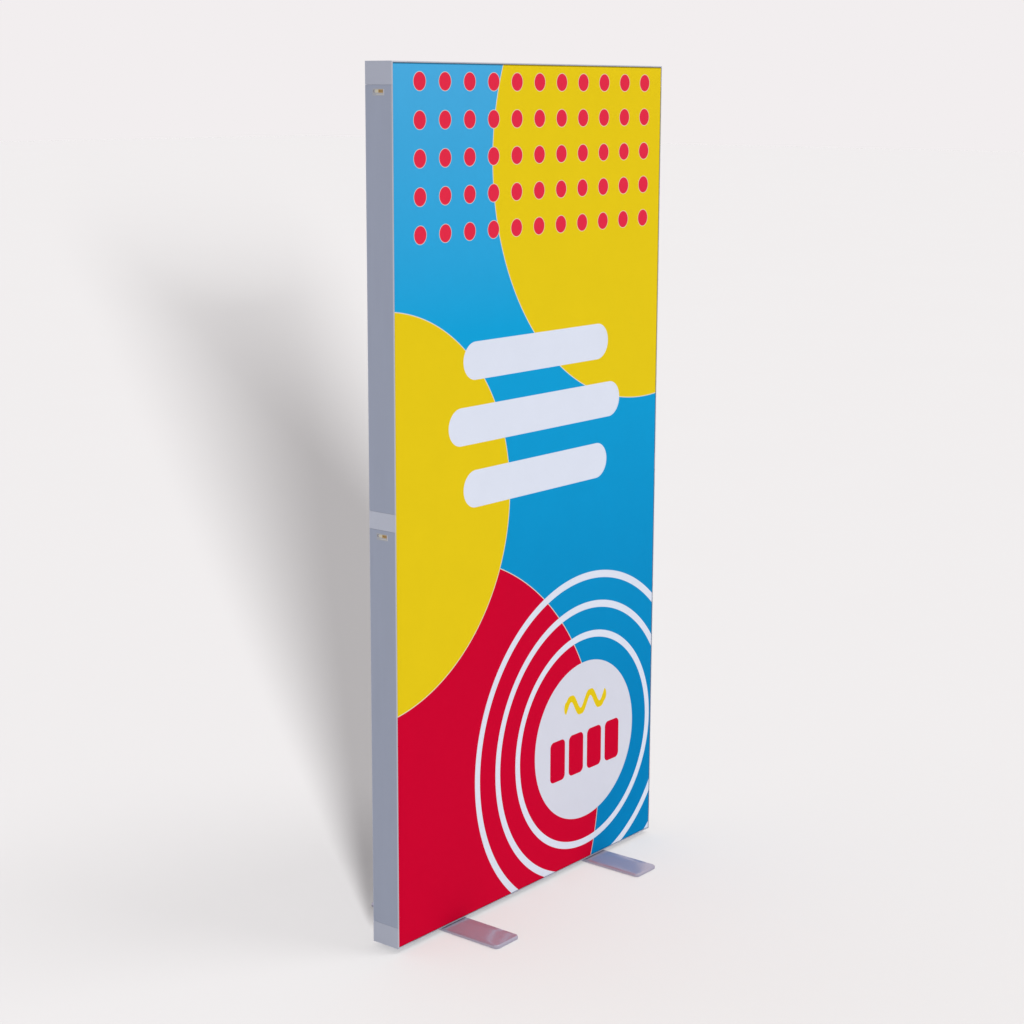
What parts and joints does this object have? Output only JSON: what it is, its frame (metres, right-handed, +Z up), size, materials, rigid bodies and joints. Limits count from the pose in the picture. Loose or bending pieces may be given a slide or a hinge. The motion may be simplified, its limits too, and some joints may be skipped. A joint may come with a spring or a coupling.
{
  "type": "fabric display partition wall",
  "caption": "Free-standing two-sided partition wall: printed stretch fabric on a slim rectangular metal frame, standing on flat swivel feet.",
  "frame": {"origin": "on the floor, under the middle of the wall", "axes": "+X along the wall, to the right as seen from the printed front; +Y from the front to the rear; +Z up"},
  "size_m": [1.0004, 0.4, 2.012],
  "materials": {
    "profile": "satin anodised extrusion, fine lengthwise grain",
    "corner_cap": "moulded, fine texture",
    "coupler": "moulded, fine texture, a little lighter than the profile",
    "zinc_steel": "zinc plated",
    "brace_tube": "mill finish",
    "front_print": "dye printed stretch knit in blue, yellow and red with white bars and rings",
    "rear_print": "plain white stretch knit",
    "silicone": "flat silicone strip",
    "foot_plate": "silver powder coat with a clear topcoat, semi-gloss",
    "foot_rubber": "matt",
    "nylon": "natural nylon",
    "light_board": "white solder mask over aluminium board",
    "lens": "clear moulded lens, unlit",
    "lead_jacket": "black jacket",
    "inlet_plastic": "black moulded",
    "label": null
  },
  "bodies": {
    "frame": {"top_rail": "profile", "bottom_rail": "profile", "stile_left_lower": "profile", "stile_left_upper": "profile", "stile_right_lower": "profile", "stile_right_upper": "profile", "corner_top_left": "corner_cap", "corner_top_right": "corner_cap", "corner_bottom_left": "corner_cap", "corner_bottom_right": "corner_cap", "coupler_left": "coupler", "coupler_right": "coupler", "locking_screws": "zinc_steel", "cross_brace": "brace_tube", "brace_bracket_left": "zinc_steel", "brace_bracket_right": "zinc_steel", "brace_screws": "zinc_steel", "front_graphic": "front_print", "rear_graphic": "rear_print", "front_edge_strips": "silicone", "rear_edge_strips": "silicone", "swivel_washer_left": "nylon", "swivel_washer_right": "nylon", "pivot_bolt_left": "zinc_steel", "pivot_bolt_right": "zinc_steel", "foot_anchor_left": "zinc_steel", "foot_anchor_right": "zinc_steel", "light_bar_left_lower": "light_board", "light_bar_left_upper": "light_board", "light_bar_right_lower": "light_board", "light_bar_right_upper": "light_board", "lenses_left_lower": "lens", "lenses_left_upper": "lens", "lenses_right_lower": "lens", "lenses_right_upper": "lens", "light_link_left": "lead_jacket", "light_link_right": "lead_jacket", "supply_inlet": "inlet_plastic", "inlet_nut": "zinc_steel", "inlet_lead": "lead_jacket", "crossing_lead": "lead_jacket", "lead_clips": "nylon", "profile_labels": "label"},
    "left_foot": {"foot_left": "foot_plate", "foot_pads_left": "foot_rubber"},
    "right_foot": {"foot_right": "foot_plate", "foot_pads_right": "foot_rubber"}
  },
  "joints": [
    {"name": "left_foot_swivel", "type": "hinge", "parent": "frame", "child": "left_foot", "pos_m": [-0.297, 0, 0.005], "axis": [0, 0, 1], "range_deg": [-90, 90]},
    {"name": "right_foot_swivel", "type": "hinge", "parent": "frame", "child": "right_foot", "pos_m": [0.262, 0, 0.005], "axis": [0, 0, 1], "range_deg": [-90, 90]}
  ]
}
